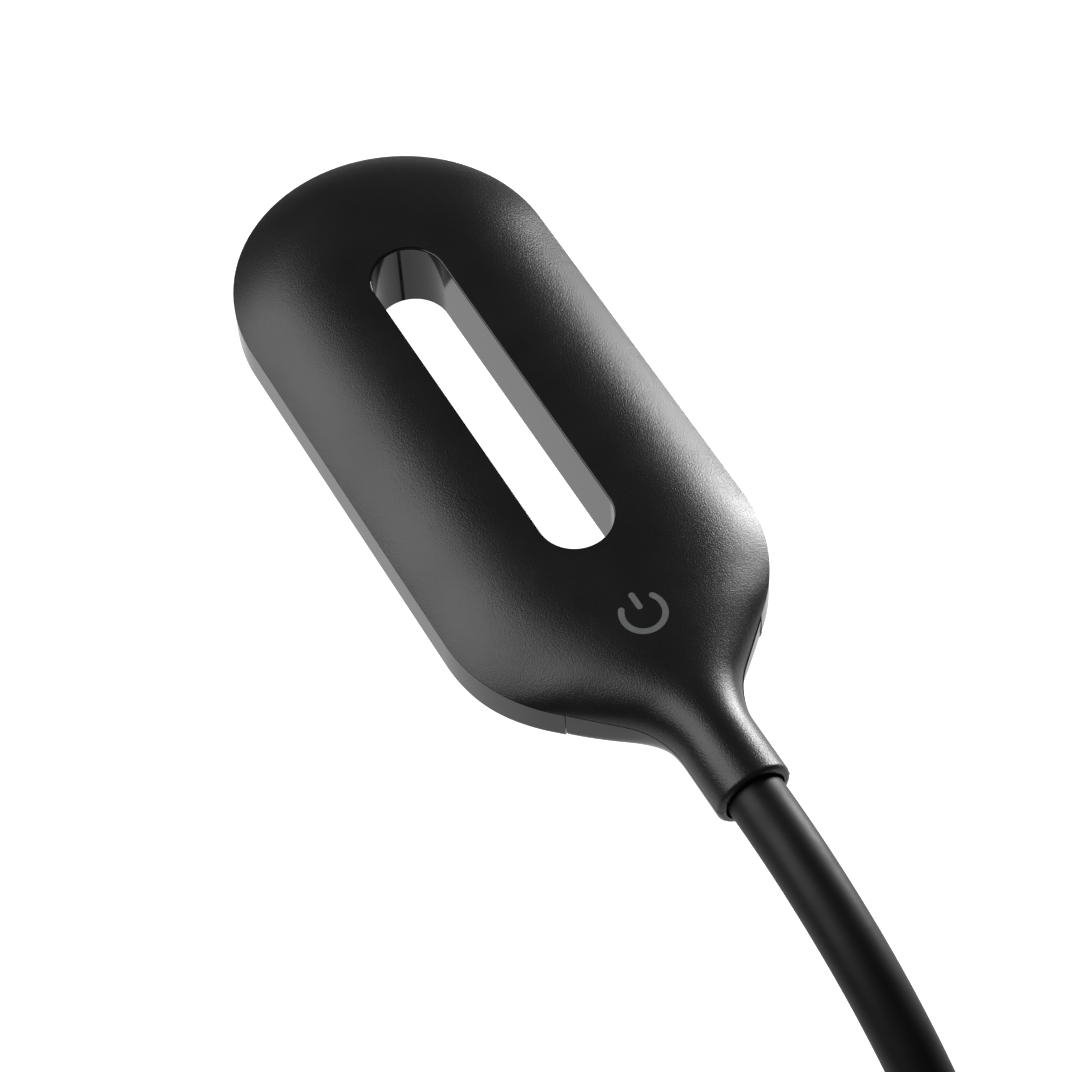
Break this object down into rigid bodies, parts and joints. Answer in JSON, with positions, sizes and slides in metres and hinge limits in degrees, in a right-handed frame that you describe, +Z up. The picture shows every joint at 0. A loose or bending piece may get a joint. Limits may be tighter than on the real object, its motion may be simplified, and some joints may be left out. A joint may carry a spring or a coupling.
{
  "type": "clip on reading lamp",
  "caption": "Clip-on reading lamp: a slotted ring head with an opal underside on a bendable gooseneck that rises from a sprung clip",
  "frame": {"origin": "centre of the fixed jaw pad, on the face that rests on the board the lamp is clipped to", "axes": "+Z up, along the lower gooseneck; -X the way the jaws open and the head points; +X the squeeze lever and the charging socket; the lamp is symmetric about y = 0"},
  "size_m": [0.2736, 0.06, 0.3178],
  "materials": {
    "matt_black": "fine spark-eroded texture",
    "gloss_black": "polished",
    "silicone": "smooth satin silicone",
    "pad_rubber": "moulded, dull",
    "opal": "opal diffuser, fine satin",
    "steel": "bright drawn steel",
    "brass": "turned",
    "board_white": "white solder mask with opal LEDs",
    "board_green": "green solder mask",
    "cell_wrap": "foil pouch",
    "wire_red": "PVC sleeve",
    "clear": "clear acrylic"
  },
  "bodies": {
    "clip": {"clip_top_cover": "matt_black", "clip_bottom_cover": "matt_black", "fixed_pad": "pad_rubber", "hinge_pin": "steel", "pin_clip": "steel", "jaw_spring": "steel", "battery": "cell_wrap", "battery_lead": "wire_red", "charge_board": "board_green", "usb_socket": "steel", "charge_light_pipe": "clear", "base_ferrule": "brass", "stem_screw_1": "steel", "stem_screw_2": "steel", "clip_screw_1": "steel", "clip_screw_2": "steel", "clip_screw_3": "steel", "clip_screw_4": "steel", "core_00": "steel", "sleeve_00": "silicone"},
    "jaw": {"moving_jaw": "matt_black", "moving_pad": "pad_rubber"},
    "link_01": {"core_01": "steel", "sleeve_01": "silicone"},
    "link_02": {"core_02": "steel", "sleeve_02": "silicone"},
    "link_03": {"core_03": "steel", "sleeve_03": "silicone"},
    "link_04": {"core_04": "steel", "sleeve_04": "silicone"},
    "link_05": {"core_05": "steel", "sleeve_05": "silicone"},
    "link_06": {"core_06": "steel", "sleeve_06": "silicone"},
    "link_07": {"core_07": "steel", "sleeve_07": "silicone"},
    "link_08": {"core_08": "steel", "sleeve_08": "silicone"},
    "link_09": {"core_09": "steel", "sleeve_09": "silicone"},
    "head": {"core_10": "steel", "sleeve_10": "silicone", "head_ferrule": "brass", "head_top": "matt_black", "head_ring": "gloss_black", "neck_cover": "gloss_black", "diffuser": "opal", "led_board": "board_white", "touch_board": "board_green", "touch_spring": "steel", "head_lead": "wire_red", "head_screw_1": "steel", "head_screw_2": "steel", "head_screw_3": "steel", "head_screw_4": "steel"}
  },
  "joints": [
    {"name": "gooseneck_bend_01", "type": "hinge", "parent": "clip", "child": "link_01", "pos_m": [0.046, 0, 0.049], "axis": [0, 1, 0], "range_deg": [-30, 30]},
    {"name": "gooseneck_side_02", "type": "hinge", "parent": "link_01", "child": "link_02", "pos_m": [0.046, 0, 0.079], "axis": [1, 0, 0], "range_deg": [-30, 30]},
    {"name": "gooseneck_bend_03", "type": "hinge", "parent": "link_02", "child": "link_03", "pos_m": [0.046, 0, 0.109], "axis": [0, 1, 0], "range_deg": [-30, 30]},
    {"name": "gooseneck_bend_04", "type": "hinge", "parent": "link_03", "child": "link_04", "pos_m": [0.046, 0, 0.139], "axis": [0, 1, 0], "range_deg": [-30, 30]},
    {"name": "gooseneck_side_05", "type": "hinge", "parent": "link_04", "child": "link_05", "pos_m": [0.046, 0, 0.169], "axis": [-1, 0, 0], "range_deg": [-30, 30]},
    {"name": "gooseneck_bend_06", "type": "hinge", "parent": "link_05", "child": "link_06", "pos_m": [0.046, 0, 0.199], "axis": [0, -1, 0], "range_deg": [-38, 22]},
    {"name": "gooseneck_bend_07", "type": "hinge", "parent": "link_06", "child": "link_07", "pos_m": [0.04183, 0, 0.22871], "axis": [0, -1, 0], "range_deg": [-50.2, 9.8]},
    {"name": "gooseneck_bend_08", "type": "hinge", "parent": "link_07", "child": "link_08", "pos_m": [0.02765, 0, 0.25515], "axis": [0, -1, 0], "range_deg": [-55, 5]},
    {"name": "gooseneck_side_09", "type": "hinge", "parent": "link_08", "child": "link_09", "pos_m": [0.00363, 0, 0.27312], "axis": [0.599, 0, 0.8007], "range_deg": [-20, 20]},
    {"name": "gooseneck_bend_10", "type": "hinge", "parent": "link_09", "child": "head", "pos_m": [-0.02539, 0, 0.28073], "axis": [0, -1, 0], "range_deg": [-41.7, 18.3]},
    {"name": "jaw_hinge", "type": "hinge", "parent": "clip", "child": "jaw", "pos_m": [0.04, 0, -0.003], "axis": [0, -1, 0], "range_deg": [0, 34], "stiffness_Nm_per_rad": 1.2, "springref_deg": -28.65, "deforming": ["jaw_spring"]}
  ]
}
